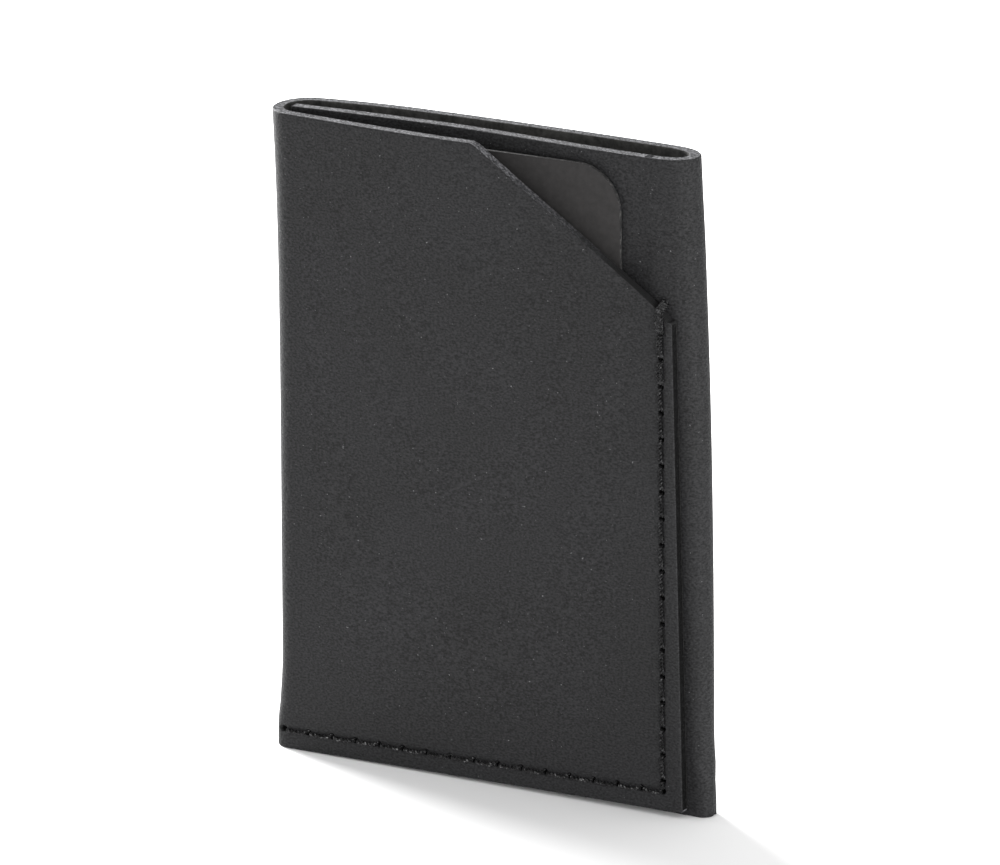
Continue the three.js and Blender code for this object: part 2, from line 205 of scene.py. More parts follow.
# Name: place in metres and watts
LIGHTS = {
    "front": ((0.4, -1.1, 0.02), 3),
    "fill": ((1.0, -0.7, 0.02), 8),
    "side": ((1.0, -0.3, 0.04), 10),
    "rim": ((-0.8, 0.4, 0.35), 34),
}
LIGHT_WIDTH = 0.5
LIGHT_AIM = Vector((0, 0, 0.05))


def to_row(points):
    """Leans points in millimetres as the holder stands, and moves them into the row frame in metres."""
    x, y, z = np.moveaxis(np.asarray(points, float), -1, 0)
    c, s = math.cos(LEAN), math.sin(LEAN)
    leaned = np.stack([c * x - s * z, y, s * x + c * z], -1)
    return (leaned + CORNER_IN_ROW) * MM


def row_point(point):
    return tuple(to_row(point))


def smoothstep(value, low, high):
    t = np.clip((value - low) / (high - low), 0, 1)
    return t * t * (3 - 2 * t)


# ---- Middle line of the leather: the y of each panel at a place x and a height z


def height_share(z):
    return np.maximum(z, 0) / HEIGHT


def opening(z):
    return height_share(z) ** OPENING_POWER


def card_room(z):
    return CARD_ROOM * smoothstep(z, SEAM_TOP, CARD_ROOM_TOP)


def front_y(x, z):
    across = np.minimum((x - FRONT_BOW_LEFT) / -FRONT_BOW_LEFT, 1)
    bow = np.where(across < 0.5, np.sin(np.pi * across), 0.5 - 0.5 * np.cos(2 * np.pi * across))
    return FRONT_Y - FRONT_BOW * bow * opening(z)


def middle_y(x, z):
    beside_seam = smoothstep(-x, SEAM_GRIP_START, SEAM_GRIP_END)
    foot = MIDDLE_Y + card_room(z) * beside_seam
    crest = MIDDLE_CREST_RISE * smoothstep(-x, MIDDLE_CREST_START, -MIDDLE_CREST_X)
    drop = MIDDLE_DROP * (np.minimum(x - MIDDLE_CREST_X, 0) / MIDDLE_DROP_REACH) ** 2
    mouth = MIDDLE_MOUTH_Y + crest - drop
    at_seam = smoothstep(z, SIDE_HOLES[-1], SEAM_GRIP_FADE_Z)
    spread_share = at_seam + (opening(z) - at_seam) * beside_seam
    return foot + (mouth - MIDDLE_Y - CARD_ROOM * beside_seam) * spread_share


def back_y(x, z):
    reach = np.where(x < BACK_CREST_X, BACK_DROP_REACH_LEFT, BACK_DROP_REACH_RIGHT)
    mouth = BACK_CREST_Y - BACK_DROP * ((x - BACK_CREST_X) / reach) ** 2
    return BACK_Y + card_room(z) + (mouth - BACK_Y - CARD_ROOM) * opening(z)


def left_tip(z):
    at_foot = LEFT_TIP_FOOT_REACH * (1 - smoothstep(z, LEFT_TIP_FOOT_FLAT, LEFT_TIP_FOOT_FADE))
    return LEFT_TIP - at_foot - LEFT_TIP_MOUTH_REACH * height_share(z) ** LEFT_TIP_POWER


def right_tip(z):
    flare = RIGHT_TIP_FLARE * (1 - smoothstep(z, 0, RIGHT_TIP_FLARE_TOP))
    return RIGHT_TIP_FOOT + flare - RIGHT_TIP_RETREAT * height_share(z) ** RIGHT_TIP_POWER


def slope(y_at, x, z):
    return (y_at(x + SLOPE_STEP, z) - y_at(x - SLOPE_STEP, z)) / (2 * SLOPE_STEP)


def fold_line(y_front, y_back, start, tip, t, z):
    """A Bezier curve from the nearer panel (t = 0) round the tip to the farther one (t = 1)."""
    reach = (tip - start) / BEZIER_REACH
    y0, y3 = y_front(start, z), y_back(start, z)
    y1 = y0 + reach * slope(y_front, start, z)
    y2 = y3 + reach * slope(y_back, start, z)
    a, b, c, d = (1 - t) ** 3, 3 * t * (1 - t) ** 2, 3 * t * t * (1 - t), t**3
    x = start + reach * (b + c)
    return x, a * y0 + b * y1 + c * y2 + d * y3


def folded_line(y_front, y_back, front_x, back_x, start, tip, s, z):
    """The nearer panel's part for s in 0..1, the fold for 1..2, the farther panel's part for 2..3."""
    front = front_x + (start - front_x) * np.clip(s, 0, 1)
    back = start + (back_x - start) * np.clip(s - 2, 0, 1)
    fold_x, fold_y = fold_line(y_front, y_back, start, tip, np.clip(s - 1, 0, 1), z)
    x = np.where(s < 1, front, np.where(s > 2, back, fold_x))
    y = np.where(s < 1, y_front(front, z), np.where(s > 2, y_back(back, z), fold_y))
    return x, y


def left_fold_line(s, z):
    """Runs from the back panel (s = 0) to the front panel (s = 3)."""
    tip = left_tip(z)
    start = tip + (back_y(tip, z) - front_y(tip, z)) / 2
    return folded_line(front_y, back_y, SPLITS["front_left"], SPLITS["left_back"], start, tip, 3 - s, z)


def right_fold_line(s, z):
    """Runs from the middle panel (s = 0) to the back panel (s = 3)."""
    tip = right_tip(z)
    length = RIGHT_FOLD_LENGTH_FOOT + RIGHT_FOLD_LENGTH_GAIN * opening(z)
    start = tip - length * (back_y(tip, z) - middle_y(tip, z)) / 2
    return folded_line(middle_y, back_y, SPLITS["right_middle"], SPLITS["back_right"], start, tip, s, z)


def front_edge(z):
    return FRONT_EDGE_FOOT + (FRONT_EDGE_TOP - FRONT_EDGE_FOOT) * np.clip(z / CUT_END[1], 0, 1)


def front_panel_line(c, z):
    x = np.where(c > 0, c * front_edge(z) / FRONT_EDGE_FOOT, c)
    return x, front_y(x, z)


def back_panel_line(c, z):
    return -c, back_y(-c, z)


def middle_panel_line(s, z):
    end = MIDDLE_END_FOOT + (MIDDLE_END_TOP - MIDDLE_END_FOOT) * opening(z)
    x = end + (SPLITS["right_middle"] - end) * s
    return x, middle_y(x, z)


# ---- Rows and columns of a panel's grid, close together at its edges and stitch holes


def spread(low, high, coarse, centres=(), reach=FINE_REACH, fine=FINE_STEP):
    """Places from low to high, coarse apart, and fine apart within reach of each centre."""
    places = list(np.linspace(low, high, int((high - low) / coarse) + 2))
    count = int(round(2 * reach / fine)) + 1
    for centre in centres:
        places = [p for p in places if abs(p - centre) > reach or p in (low, high)]
        places += [p for p in np.linspace(centre - reach, centre + reach, count) if low < p < high]
    return np.array(sorted(places))


def with_arris(places, at_low, at_high):
    """Adds the places that turn a cut edge's arris."""
    low, high = places[0], places[-1]
    clear_low = low + (ARRIS_CLEARANCE if at_low else 0)
    clear_high = high - (ARRIS_CLEARANCE if at_high else 0)
    inner = places[(places > clear_low) & (places < clear_high)]
    low_arris = low + ARRIS_STEPS if at_low else []
    high_arris = high - ARRIS_STEPS if at_high else []
    joined = np.concatenate([[low], low_arris, inner, high_arris, [high]])
    return np.array(sorted(set(np.round(joined, 5))))


def fold_places(first, turn, last):
    """Places along a fold's line, with first, turn and last of them in its three parts."""
    parts = [np.linspace(0, 1, first), np.linspace(1, 2, turn)[1:], np.linspace(2, 3, last)[1:]]
    return np.concatenate(parts)


def corner_round(gap, radius):
    """How far a small round corner pulls an edge in, at a gap from the side edge."""
    inside = np.clip(radius - gap, 0, radius)
    return radius - np.sqrt(radius**2 - inside**2)


def front_top(x):
    along = np.clip((x - CUT_START[0]) / (CUT_END[0] - CUT_START[0]), 0, 1)
    return CUT_START[1] + (CUT_END[1] - CUT_START[1]) * along


def front_heights(c, level):
    """Level rows up to FAN_START, fanned above it so that the last one follows the diagonal cut."""
    gap = FRONT_EDGE_FOOT - c
    foot = corner_round(gap, EDGE_CORNER)
    top = front_top(c) - foot
    fanned = FAN_START + (level - FAN_START) * (top - FAN_START) / (HEIGHT - FAN_START)
    low = foot + level * (FAN_START - foot) / FAN_START
    return np.where(level > FAN_START, fanned, low), foot, top


def front_levels():
    """Rows of the front panel: the high ones are wide apart, because the fan closes them up."""
    fan = (HEIGHT - FAN_START) / (front_top(0) - FAN_START)
    hole_levels = [z if z < FAN_START else FAN_START + (z - FAN_START) * fan for z in SIDE_HOLES]
    low_holes = [z for z in hole_levels if z < FAN_START]
    high_holes = [z for z in hole_levels if z > FAN_START]
    low = spread(0, FAN_START, FRONT_LOW_STEP, [SEAM_Z] + low_holes)
    high = spread(FAN_START, HEIGHT, FRONT_HIGH_STEP, high_holes, FINE_REACH * fan, FINE_STEP * fan)
    return with_arris(np.concatenate([low, high[1:]]), True, True)


def plain_levels():
    """Rows of the layers behind. They sink with the foot, so they are fine up to FOOT_DROP above the seam."""
    return with_arris(spread(0, HEIGHT, LEVEL_STEP, [SEAM_Z, SEAM_Z + FOOT_DROP]), True, True)


def standing_on(foot, level):
    return foot + level * (HEIGHT - foot) / HEIGHT, foot, HEIGHT + 0 * foot


def rear_foot(x):
    return FOOT_SLANT * (FOOT_LEFT - x)


def back_heights(c, level):
    return standing_on(rear_foot(-c), level)


def middle_heights(s, level):
    return standing_on(rear_foot(middle_panel_line(s, 0)[0]), level)


def fold_corner(s, radius):
    return corner_round(FOLD_CORNER_REACH * np.abs(s - FOLD_MIDDLE), radius)


def left_fold_heights(s, level):
    """The foot rises from the back panel's (s = 1) to the front panel's by the fold's middle."""
    sunk = rear_foot(left_fold_line(s, 0)[0]) * (1 - smoothstep(s, 1.0, FOLD_MIDDLE))
    return standing_on(sunk + fold_corner(s, LEFT_CORNER), level)


def right_fold_heights(s, level):
    foot = rear_foot(right_fold_line(s, 0)[0])
    return standing_on(foot + fold_corner(s, RIGHT_CORNER), level)


# ---- Relief of the seams: grooves that the thread lies in, and needle holes


def pits(x, z, holes):
    depth = np.zeros_like(x)
    for hx, hz in holes:
        away = np.hypot(x - hx, z - hz)
        inside = 1 - smoothstep(away, HOLE_RADIUS * HOLE_FLOOR, HOLE_RADIUS * HOLE_RIM)
        depth = np.maximum(depth, PIT_DEPTH * inside)
    return depth


def groove(across):
    return GROOVE_DEPTH * np.exp(-((across / GROOVE_WIDTH) ** 2))


def foot_relief(x, z):
    right_of_end = smoothstep(x, FOOT_HOLES[-1] - GROOVE_END, FOOT_HOLES[-1])
    inside = right_of_end * (1 - smoothstep(x, 0, GROOVE_END))
    return np.maximum(groove(z - SEAM_Z) * inside, pits(x, z, [(hx, SEAM_Z) for hx in FOOT_HOLES]))


def front_relief(x, z):
    inside = smoothstep(z, SEAM_Z, SEAM_Z + GROOVE_END)
    side = np.maximum(groove(x) * inside, pits(x, z, [(0.0, hz) for hz in SIDE_HOLES]))
    return np.maximum(foot_relief(x, z), side)


def no_relief(x, z):
    return np.zeros_like(x)


# ---- A panel of the strip as one closed mesh


def arris_half(distance):
    """Half the leather's thickness at a distance from a cut edge, less where its arris is round."""
    inside = np.clip(ARRIS - distance, 0, ARRIS)
    return HALF - ARRIS + np.sqrt(ARRIS**2 - inside**2)


def leather_panel(name, columns, levels, line, heights, relief, cut_first, cut_last):
    """line(c, z) gives the middle line. cut_first and cut_last say which end columns are cut edges."""
    c, level = np.meshgrid(columns, levels, indexing="ij")
    z, foot, top = heights(c, level)
    x, y = line(c, z)
    x_on, y_on = line(c + NORMAL_STEP, z)
    x_by, y_by = line(c - NORMAL_STEP, z)
    length = np.hypot(x_on - x_by, y_on - y_by)
    normal = np.stack([(y_on - y_by) / length, -(x_on - x_by) / length], -1)
    distance = np.minimum(z - foot, top - z)
    worn = distance < WORN_RIM
    if cut_first:
        distance = np.minimum(distance, np.abs(x - x[:1]))
    if cut_last:
        distance = np.minimum(distance, np.abs(x[-1:] - x))
    half = arris_half(distance)
    carved = relief(x, z)
    sunk = half - carved
    grain = np.stack([x + normal[..., 0] * sunk, y + normal[..., 1] * sunk, z], -1)
    flesh = np.stack([x - normal[..., 0] * half, y - normal[..., 1] * half, z], -1)
    return closed_mesh(name, grain, flesh, worn, carved, cut_first, cut_last)


def on_diagonal(point):
    """True on the front panel's cut edge where it runs down from the mouth."""
    x, y, z = point
    low, high = CUT_END[1] - DIAGONAL_LOW_MARGIN, CUT_START[1] - DIAGONAL_HIGH_MARGIN
    return x > CUT_START[0] and y < MIDDLE_Y - HALF and low < z < high


def cut_edge_slot(point):
    # The diagonal's cut edge gets the material with painted shade
    return DIAGONAL if on_diagonal(point) else CUT


def surface_faces(grain, worn, carved):
    """The faces of the grain and flesh sides, with their material slots."""
    n, m = worn.shape
    faces, slots = [], []
    for side, offset in ((GRAIN, 0), (FLESH, n * m)):
        for i in range(n - 1):
            for j in range(m - 1):
                a, b = offset + i * m + j, offset + (i + 1) * m + j
                faces.append((a, b, b + 1, a + 1) if side == GRAIN else (a, a + 1, b + 1, b))
                # A needle hole's deep pit gets painted shade
                if side == GRAIN and carved[i : i + 2, j : j + 2].mean() > PAINTED_SHADE_PIT_DEPTH:
                    slots.append(PAINTED_SHADE)
                elif worn[i : i + 2, j : j + 2].all():
                    slots.append(cut_edge_slot(grain[i, j]))
                else:
                    slots.append(side)
    return faces, slots


def ring_of(columns, rows):
    """The grid places round a panel's rim, in order."""
    bottom = [(i, 0) for i in range(columns)]
    last = [(columns - 1, j) for j in range(1, rows)]
    top = [(i, rows - 1) for i in range(columns - 2, -1, -1)]
    first = [(0, j) for j in range(rows - 2, 0, -1)]
    return bottom + last + top + first


def roughen(rim, ring, rough, last_column, last_row, cut_first, cut_last):
    """Pulls the mouth's and the free ends' edge in by a small depth at each point. The foot stays flat."""
    for index, (i, j) in enumerate(ring):
        if (i == 0 and not cut_first) or (i == last_column and not cut_last):
            continue
        if j == last_row:
            rim[index, 2] -= rough[index]
        elif i == last_column:
            rim[index, 0] -= rough[index]
        elif i == 0:
            rim[index, 0] += rough[index]


def closed_mesh(name, grain, flesh, worn, carved, cut_first, cut_last):
    """Joins the grain and flesh sides by layers of rough edge all round."""
    rng = np.random.default_rng(len(name) * 7 + 3)
    n, m = worn.shape
    ring = ring_of(n, m)
    count = len(ring)
    grain_rim = np.array([grain[where] for where in ring])
    flesh_rim = np.array([flesh[where] for where in ring])
    points = [grain.reshape(-1, 3), flesh.reshape(-1, 3)]
    rows = [[i * m + j for i, j in ring]]
    for k in range(1, EDGE_LAYERS):
        share = k / EDGE_LAYERS
        rim = grain_rim * (1 - share) + flesh_rim * share
        roughen(rim, ring, rng.uniform(0, EDGE_FUZZ, count), n - 1, m - 1, cut_first, cut_last)
        points.append(rim)
        rows.append([2 * n * m + (k - 1) * count + v for v in range(count)])
    rows.append([n * m + v for v in rows[0]])
    faces, slots = surface_faces(grain, worn, carved)
    for near, far in zip(rows, rows[1:]):
        for v in range(count):
            w = (v + 1) % count
            faces.append((near[v], far[v], far[w], near[w]))
            # The free edge beside the middle panel gets painted shade, partly its burnished dye
            on_free_edge = cut_last and ring[v][0] == n - 1 and ring[w][0] == n - 1
            slots.append(PAINTED_SHADE if on_free_edge else cut_edge_slot(grain[ring[v]]))
    return mesh_object(name, np.concatenate(points), faces, slots)


def mesh_object(name, points, faces, slots=None, angle=SMOOTH_ANGLE):
    mesh = bpy.data.meshes.new(name)
    mesh.from_pydata(to_row(points).tolist(), [], faces)
    for _ in range(max(slots or [0]) + 1):
        mesh.materials.append(None)
    if slots:
        mesh.polygons.foreach_set("material_index", slots)
    work = bmesh.new()
    work.from_mesh(mesh)
    bmesh.ops.recalc_face_normals(work, faces=work.faces)
    work.to_mesh(mesh)
    work.free()
    mesh.shade_smooth()
    mesh.set_sharp_from_angle(angle=math.radians(angle))
    obj = bpy.data.objects.new(name, mesh)
    bpy.context.scene.collection.objects.link(obj)
    return obj


# ---- Twisted threads


def path_frame(path, across):
    """Two directions square to the path at each point, and the distance travelled along it."""
    tangent = np.gradient(path, axis=0)
    tangent /= np.linalg.norm(tangent, axis=1)[:, None]
    side = np.cross(tangent, across)
    side /= np.linalg.norm(side, axis=1)[:, None]
    other = np.cross(tangent, side)
    steps = np.linalg.norm(np.diff(path, axis=0), axis=1)
    return side, other, np.concatenate([[0], np.cumsum(steps)])


def tube_faces(base, rows):
    """The faces of a closed tube of rows rings, whose points start at base."""
    faces = []
    for r in range(rows - 1):
        a = base + r * STRAND_SIDES
        for s in range(STRAND_SIDES):
            t = (s + 1) % STRAND_SIDES
            faces.append((a + s, a + t, a + STRAND_SIDES + t, a + STRAND_SIDES + s))
    for end in (0, rows - 1):
        faces.append(tuple(base + end * STRAND_SIDES + s for s in range(STRAND_SIDES)))
    return faces


def thread_mesh(name, paths, across):
    """One mesh of strands twisted round each path; across is the direction square to the paths' plane."""
    points, faces = [], []
    around = 2 * np.pi * np.arange(STRAND_SIDES) / STRAND_SIDES
    cosines = np.cos(around)[None, :, None]
    sines = np.sin(around)[None, :, None]
    for path in paths:
        path = np.array(path, float)
        side, other, travelled = path_frame(path, np.array(across, float))
        section = cosines * side[:, None] + sines * other[:, None]
        for strand in range(STRANDS):
            turn = 2 * np.pi * (travelled / TWIST_LENGTH + strand / STRANDS)
            centre = path + STRAND_ORBIT * (np.cos(turn)[:, None] * side + np.sin(turn)[:, None] * other)
            faces += tube_faces(sum(len(p) for p in points), len(path))
            points.append((centre[:, None] + STRAND_RADIUS * section).reshape(-1, 3))
    return mesh_object(name, np.concatenate(points), faces, angle=THREAD_SMOOTH_ANGLE)


def stitch_path(start, end, surface, outward, proud=STITCH_PROUD, sag=0.0, steps=STITCH_STEPS):
    """From one hole to the next: up out of the leather, along its groove and down again.
    start and end are (x, z); surface is the face's y, and outward is -1 or 1."""
    u = np.linspace(0, 1, steps)
    dive = np.abs(2 * u - 1) ** DIVE_POWER
    x = start[0] + (end[0] - start[0]) * u
    z = start[1] + (end[1] - start[1]) * u - sag * (1 - dive)
    y = surface + outward * (proud * (1 - dive) - STITCH_DEPTH * dive)
    return np.stack([x, y, z], -1)


def foot_seam(surface, outward):
    paths = []
    for right, left in zip(FOOT_HOLES, FOOT_HOLES[1:]):
        start, end = (right - STITCH_END, SEAM_Z), (left + STITCH_END, SEAM_Z)
        paths.append(stitch_path(start, end, surface, outward, sag=FOOT_SAG))
    return paths


def side_seam(surface, outward, first=0):
    paths = []
    holes = SIDE_HOLES[first:]
    for low, high in zip(holes, holes[1:]):
        start, end = (SIDE_SLANT, low + STITCH_END), (-SIDE_SLANT, high - STITCH_END)
        paths.append(stitch_path(start, end, surface, outward))
    return paths


def back_tack():
    paths = []
    for offset in TACK_STITCH_OFFSETS:
        for low, high in zip(SIDE_HOLES[-3:], SIDE_HOLES[-2:]):
            start, end = (offset, low + STITCH_END), (offset, high - STITCH_END)
            paths.append(stitch_path(start, end, 0, -1, proud=TACK_PROUD))
    for offset in TACK_WRAP_OFFSETS:
        # Each wrap leans with the cut edge as it goes over it and down into the middle panel.
        fall = (front_top(offset) - front_top(0.0)) * np.linspace(0, 1, len(TACK_WRAP))
        knots = [(offset * (1 - k / TACK_NARROWING), y, z + fall[k]) for k, (y, z) in enumerate(TACK_WRAP)]
        paths.append(smooth_path(np.array(knots), TACK_STEPS))
    return paths


def side_front_paths():
    corner_end = (0, SIDE_HOLES[0] - STITCH_END)
    corner = stitch_path((0, SEAM_Z + GROOVE_END), corner_end, 0, -1, steps=CORNER_STITCH_STEPS)
    return side_seam(0, -1) + [corner] + back_tack()


def smooth_path(knots, steps):
    """A Catmull-Rom curve through the knots."""
    padded = np.concatenate([[2 * knots[0] - knots[1]], knots, [2 * knots[-1] - knots[-2]]])
    out = []
    for t in np.linspace(0, len(knots) - 1 - 1e-9, steps):
        k = int(t)
        u = t - k
        p0, p1, p2, p3 = padded[k : k + 4]
        out.append(0.5 * (2 * p1 + (p2 - p0) * u + (2 * p0 - 5 * p1 + 4 * p2 - p3) * u**2
                          + (3 * p1 - p0 - 3 * p2 + p3) * u**3))
    return np.array(out)


# ---- Insert card


def card_outline(inset, ragged, seed):
    """The card's rounded outline, drawn in by inset at its corners and by up to ragged at random."""
    rng = np.random.default_rng(seed)
    radius = CARD_RADIUS - inset
    corners = [
        (CARD_RIGHT - CARD_RADIUS, CARD_HIGH - CARD_RADIUS, 0),
        (CARD_LEFT + CARD_RADIUS, CARD_HIGH - CARD_RADIUS, 90),
        (CARD_LEFT + CARD_RADIUS, CARD_LOW + CARD_RADIUS, 180),
        (CARD_RIGHT - CARD_RADIUS, CARD_LOW + CARD_RADIUS, 270),
    ]
    outline = []
    for cx, cz, turned in corners:
        for angle in np.radians(turned + np.linspace(0, 90, CARD_CORNER_POINTS)):
            outline.append((cx + radius * math.cos(angle), cz + radius * math.sin(angle)))
    filled = []
    for a, b in zip(outline, outline[1:] + outline[:1]):
        count = max(1, int(math.dist(a, b) / CARD_POINT_GAP))
        filled += [(a[0] + (b[0] - a[0]) * k / count, a[1] + (b[1] - a[1]) * k / count) for k in range(count)]
    points = np.array(filled)
    middle = points.mean(0)
    inward = (middle - points) / np.linalg.norm(middle - points, axis=1)[:, None]
    return points + inward * rng.uniform(0, ragged, len(points))[:, None]


def insert_card():
    # Inset, raggedness, y and seed of each ring, from the front face round the edge to the back one
    rings = [
        (CARD_BEVEL, 0.0, CARD_FRONT_Y, 1),
        (0.0, CARD_FUZZ, CARD_FRONT_Y + CARD_BEVEL_DEPTH, 2),
        (0.0, CARD_MIDDLE_FUZZ, CARD_MIDDLE_Y, 3),
        (0.0, CARD_FUZZ, CARD_BACK_Y - CARD_BEVEL_DEPTH, 4),
        (CARD_BEVEL, 0.0, CARD_BACK_Y, 5),
    ]
    points = []
    for inset, ragged, y, seed in rings:
        outline = card_outline(inset, ragged, seed)
        points.append(np.stack([outline[:, 0], np.full(len(outline), y), outline[:, 1]], -1))
    count = min(len(p) for p in points)
    points = [p[np.linspace(0, len(p) - 1, count).astype(int)] for p in points]
    faces = []
    for k in range(len(rings) - 1):
        for v in range(count):
            w = (v + 1) % count
            faces.append((k * count + v, k * count + w, (k + 1) * count + w, (k + 1) * count + v))
    slots = [2] * len(faces) + [0, 1]
    faces.append(tuple(range(count)))
    faces.append(tuple((len(rings) - 1) * count + v for v in range(count)))
    return mesh_object("card_board", np.concatenate(points), faces, slots)


# ---- Materials: scales are features per metre, and tones are linear


def nodes_of(name):
    material = bpy.data.materials.new(name)
    material.use_nodes = True
    tree = material.node_tree
    shader = tree.nodes["Principled BSDF"]
    return material, tree, shader


def object_place(tree, stretch=(1, 1, 1)):
    coordinates = tree.nodes.new("ShaderNodeTexCoord")
    mapping = tree.nodes.new("ShaderNodeMapping")
    mapping.inputs["Scale"].default_value = stretch
    tree.links.new(coordinates.outputs["Object"], mapping.inputs["Vector"])
    return mapping.outputs["Vector"]


def noise(tree, scale, detail, roughness, stretch=(1, 1, 1)):
    node = tree.nodes.new("ShaderNodeTexNoise")
    node.inputs["Scale"].default_value = scale
    node.inputs["Detail"].default_value = detail
    node.inputs["Roughness"].default_value = roughness
    tree.links.new(object_place(tree, stretch), node.inputs["Vector"])
    return node.outputs["Fac"]


def cells(tree, scale):
    node = tree.nodes.new("ShaderNodeTexVoronoi")
    node.inputs["Scale"].default_value = scale
    tree.links.new(object_place(tree), node.inputs["Vector"])
    return node.outputs["Distance"]


def ramp(tree, value, stops):
    """stops are (place, grey or rgb)."""
    node = tree.nodes.new("ShaderNodeValToRGB")
    band = node.color_ramp
    while len(band.elements) < len(stops):
        band.elements.new(0.5)
    for element, (where, colour) in zip(band.elements, stops):
        rgb = (colour,) * 3 if isinstance(colour, (int, float)) else colour
        element.position = where
        element.color = (*rgb, 1)
    tree.links.new(value, node.inputs["Fac"])
    return node.outputs["Color"]


def mixed(tree, share, first, second):
    node = tree.nodes.new("ShaderNodeMix")
    node.data_type = "RGBA"
    tree.links.new(share, node.inputs["Factor"])
    for socket, value in (("A", first), ("B", second)):
        target = [i for i in node.inputs if i.name == socket and i.type == "RGBA"][0]
        if isinstance(value, tuple):
            target.default_value = (*value, 1)
        else:
            tree.links.new(value, target)
    return [o for o in node.outputs if o.type == "RGBA"][0]


def height_share_in_row(tree, low, high):
    """0 at the height low and 1 at high, in metres."""
    coordinates = tree.nodes.new("ShaderNodeTexCoord")
    split = tree.nodes.new("ShaderNodeSeparateXYZ")
    scaled = tree.nodes.new("ShaderNodeMapRange")
    scaled.inputs["From Min"].default_value = low
    scaled.inputs["From Max"].default_value = high
    tree.links.new(coordinates.outputs["Object"], split.inputs["Vector"])
    tree.links.new(split.outputs["Z"], scaled.inputs["Value"])
    return scaled.outputs["Result"]


def bumped(tree, shader, layers):
    """layers are (height, strength, distance in metres), laid over one another."""
    normal = None
    for height, strength, distance in layers:
        node = tree.nodes.new("ShaderNodeBump")
        node.inputs["Strength"].default_value = strength
        node.inputs["Distance"].default_value = distance
        tree.links.new(height, node.inputs["Height"])
        if normal is not None:
            tree.links.new(normal, node.inputs["Normal"])
        normal = node.outputs["Normal"]
    tree.links.new(normal, shader.inputs["Normal"])


def finish_shader(tree, shader, tone, roughness, specular=None):
    """Links the tone, and sets an even roughness and specular level."""
    tree.links.new(tone, shader.inputs["Base Color"])
    shader.inputs["Roughness"].default_value = roughness
    if specular is not None:
        shader.inputs["Specular IOR Level"].default_value = specular


def grain_leather():
    material, tree, shader = nodes_of("charcoal_leather")
    cloudy = noise(tree, 55, 3, 0.5)
    low_tone = ramp(tree, cloudy, [(0.35, (0.0077, 0.0077, 0.0079)), (0.68, (0.0091, 0.0091, 0.0096))])
    high_tone = ramp(tree, cloudy, [(0.35, (0.0218, 0.0218, 0.0226)), (0.68, (0.0243, 0.0243, 0.0256))])
    wrinkles = noise(tree, 3000, 2, 0.6, (0.8, 0.8, 1.25))
    grain = ramp(tree, wrinkles, [(0.34, 0.0), (0.66, 1.0)])
    base = mixed(tree, grain, low_tone, high_tone)
    dust = ramp(tree, noise(tree, 2600, 2, 0.5), [(0.735, 0.0), (0.775, 1.0)])
    tone = mixed(tree, dust, base, (0.15, 0.15, 0.155))
    tree.links.new(tone, shader.inputs["Base Color"])
    gloss = ramp(tree, wrinkles, [(0.3, 0.66), (0.7, 0.52)])
    tree.links.new(gloss, shader.inputs["Roughness"])
    shader.inputs["Specular IOR Level"].default_value = 0.12
    bumped(tree, shader, [
        (wrinkles, 0.7, 0.00015),
        (cells(tree, 2600), 0.4, 0.00008),
        (noise(tree, 260, 3, 0.5), 0.08, 0.0003),
    ])
    return material


def flesh_leather():
    material, tree, shader = nodes_of("leather_flesh_side")
    fibres = noise(tree, 700, 5, 0.7)
    tone = ramp(tree, fibres, [(0.3, (0.0135, 0.0135, 0.013)), (0.7, (0.05, 0.0495, 0.047))])
    finish_shader(tree, shader, tone, 0.92, 0.2)
    bumped(tree, shader, [(noise(tree, 1800, 6, 0.75), 0.6, 0.00012)])
    return material


def cut_edge_leather(name, painted_shade_down=False):
    """Raw fibres of a cut edge; with painted shade on the diagonal, it darkens from the lit mouth down to the
    diagonal's lower end.
    """
    material, tree, shader = nodes_of(name)
    layered = noise(tree, 900, 4, 0.7, (0.35, 5.0, 0.35))
    speckled = noise(tree, 2400, 3, 0.6)
    tones = [(0.38, 0.012), (0.5, 0.06), (0.62, 0.17)]
    tone = ramp(tree, speckled, [(where, (t, t, 1.06 * t)) for where, t in tones])
    creases = ramp(tree, layered, [(0.4, 0.7), (0.55, 0.0)])
    tone = mixed(tree, creases, tone, (0.03, 0.03, 0.033))
    # Painted shade: the tone fades to near black from the diagonal's top down to its lower end
    if painted_shade_down:
        low = row_point((CUT_END[0], 0, CUT_END[1]))[2]
        high = row_point((CUT_START[0], 0, CUT_START[1]))[2]
        painted_light_share = ramp(tree, height_share_in_row(tree, low, high), [(0.3, 0.0), (0.95, 1.0)])
        tone = mixed(tree, painted_light_share, (0.005, 0.005, 0.0052), tone)
    finish_shader(tree, shader, tone, 0.88, 0.25)
    bumped(tree, shader, [(layered, 0.7, 0.00012), (speckled, 0.4, 0.00006)])
    return material


def painted_shade_leather():
    """Painted shade in the needle holes and on the free edge beside the middle panel; on the free edge it is
    partly the edge's burnished dye.
    """
    material, tree, shader = nodes_of("leather_painted_shade")
    speckled = noise(tree, 2600, 4, 0.7)
    tone = ramp(tree, speckled, [(0.5, (0.0007, 0.0007, 0.0007)), (0.72, (0.011, 0.011, 0.0115))])
    finish_shader(tree, shader, tone, 0.9, 0.12)
    bumped(tree, shader, [(speckled, 0.8, 0.00015)])
    return material


def black_thread(name, painted_highlight):
    """The light fibres are painted highlights on the twisted strands, partly lint; the second argument sets
    how light the brightest are.
    """
    material, tree, shader = nodes_of(name)
    fibres = noise(tree, 2700, 3, 0.7)
    tones = [(0.45, (0.001, 0.001, 0.001)), (0.58, (0.018, 0.018, 0.019)), (0.68, (painted_highlight, painted_highlight, painted_highlight))]
    finish_shader(tree, shader, ramp(tree, fibres, tones), 0.42, 0.2)
    bumped(tree, shader, [(fibres, 0.5, 0.00004)])
    return material


